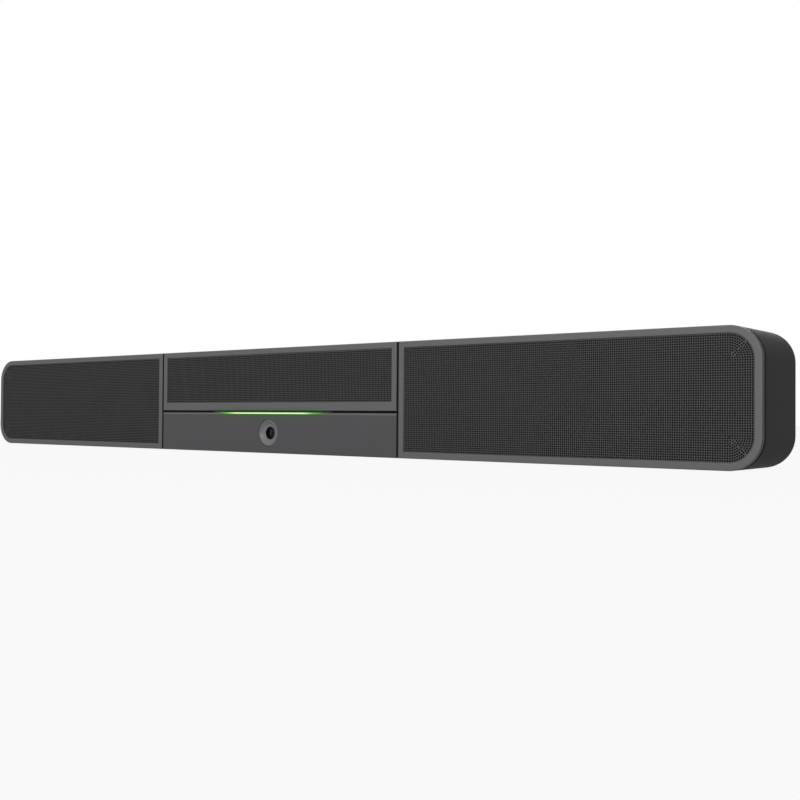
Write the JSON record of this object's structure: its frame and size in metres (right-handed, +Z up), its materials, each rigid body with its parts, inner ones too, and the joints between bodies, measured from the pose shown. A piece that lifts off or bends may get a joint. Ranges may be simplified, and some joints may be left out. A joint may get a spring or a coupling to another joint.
{
  "type": "conference camera",
  "caption": "Long video conferencing bar with perforated loudspeaker ends, a microphone grille, a status light and a small tilting wide-angle camera.",
  "frame": {"origin": "under the middle of the bar, on the surface that it stands on, halfway between front and back", "axes": "+X along the bar to the right as seen from the front, -Y out of the front, +Y towards the wall, +Z up"},
  "size_m": [1.031, 0.08, 0.11],
  "materials": {
    "housing_plastic": "fine texture",
    "frame_plastic": "satin",
    "fascia_plastic": "satin",
    "grille_metal": "powder coat",
    "acoustic_cloth": "matte",
    "baffle_plastic": "matte",
    "light_plastic": "clear",
    "ball_plastic": "satin",
    "barrel_plastic": "matte",
    "lens_glass": "coated",
    "board": "solder mask",
    "components": "moulded",
    "steel": "zinc plated",
    "painted_steel": "powder coat",
    "brass": "turned",
    "aluminium": "extruded",
    "motor_iron": "plated",
    "cone": "matte",
    "soft_rubber": "matte",
    "lead_jacket": "satin",
    "button_light": "satin",
    "button_red": "satin"
  },
  "bodies": {
    "bar": {"left_housing": "housing_plastic", "right_housing": "housing_plastic", "centre_housing": "housing_plastic", "mounting_plate": "painted_steel", "mounting_screws": "steel", "threaded_inserts": "brass", "left_bezel": "frame_plastic", "right_bezel": "frame_plastic", "centre_bezel": "frame_plastic", "left_grille": "grille_metal", "right_grille": "grille_metal", "centre_grille": "grille_metal", "grille_cloths": "acoustic_cloth", "left_baffle": "baffle_plastic", "right_baffle": "baffle_plastic", "centre_carrier": "baffle_plastic", "baffle_screws": "steel", "camera_fascia": "fascia_plastic", "light_guide": "light_plastic", "light_board": "board", "camera_cradle": "baffle_plastic", "cradle_screws": "steel", "microphone_board": "board", "microphone_capsules": "brass", "main_board": "board", "board_components": "components", "heat_sink": "aluminium", "board_screws": "steel", "connector_plate": "painted_steel", "connector_plate_screws": "steel", "ethernet_sockets": "steel", "hdmi_socket": "steel", "usb_socket": "steel", "power_inlet": "barrel_plastic", "left_bass_port": "barrel_plastic", "right_bass_port": "barrel_plastic", "left_woofer_baskets": "painted_steel", "right_woofer_baskets": "painted_steel", "woofer_motors": "motor_iron", "driver_screws": "steel", "woofer_suspension_1": "soft_rubber", "woofer_suspension_2": "soft_rubber", "woofer_suspension_3": "soft_rubber", "woofer_suspension_4": "soft_rubber", "left_tweeter": "painted_steel", "right_tweeter": "painted_steel", "left_speaker_lead": "lead_jacket", "right_speaker_lead": "lead_jacket", "lead_grommets": "soft_rubber"},
    "camera_head": {"camera_ball": "ball_plastic", "lens_barrel": "barrel_plastic", "front_lens": "lens_glass", "sensor_board": "board", "tilt_pins": "steel"},
    "setup_button": {"setup_button": "button_light"},
    "reset_button": {"reset_button": "button_red"},
    "cone_1": {"woofer_cone_1": "cone"},
    "cone_2": {"woofer_cone_2": "cone"},
    "cone_3": {"woofer_cone_3": "cone"},
    "cone_4": {"woofer_cone_4": "cone"}
  },
  "joints": [
    {"name": "camera_tilt", "type": "hinge", "parent": "bar", "child": "camera_head", "pos_m": [0, -0.03246, 0.021], "axis": [1, 0, 0], "range_deg": [-10, 10]},
    {"name": "setup_press", "type": "slide", "parent": "bar", "child": "setup_button", "axis": [0, -1, 0], "range_m": [0, 0.001], "stiffness_N_per_m": 400, "springref_m": -0.0005},
    {"name": "reset_press", "type": "slide", "parent": "bar", "child": "reset_button", "axis": [0, -1, 0], "range_m": [0, 0.001], "stiffness_N_per_m": 400, "springref_m": -0.0005},
    {"name": "cone_1_travel", "type": "slide", "parent": "bar", "child": "cone_1", "axis": [0, 1, 0], "range_m": [-0.003, 0.003], "stiffness_N_per_m": 900, "deforming": ["woofer_suspension_1"]},
    {"name": "cone_2_travel", "type": "slide", "parent": "bar", "child": "cone_2", "axis": [0, 1, 0], "range_m": [-0.003, 0.003], "stiffness_N_per_m": 900, "deforming": ["woofer_suspension_2"]},
    {"name": "cone_3_travel", "type": "slide", "parent": "bar", "child": "cone_3", "axis": [0, 1, 0], "range_m": [-0.003, 0.003], "stiffness_N_per_m": 900, "deforming": ["woofer_suspension_3"]},
    {"name": "cone_4_travel", "type": "slide", "parent": "bar", "child": "cone_4", "axis": [0, 1, 0], "range_m": [-0.003, 0.003], "stiffness_N_per_m": 900, "deforming": ["woofer_suspension_4"]}
  ]
}
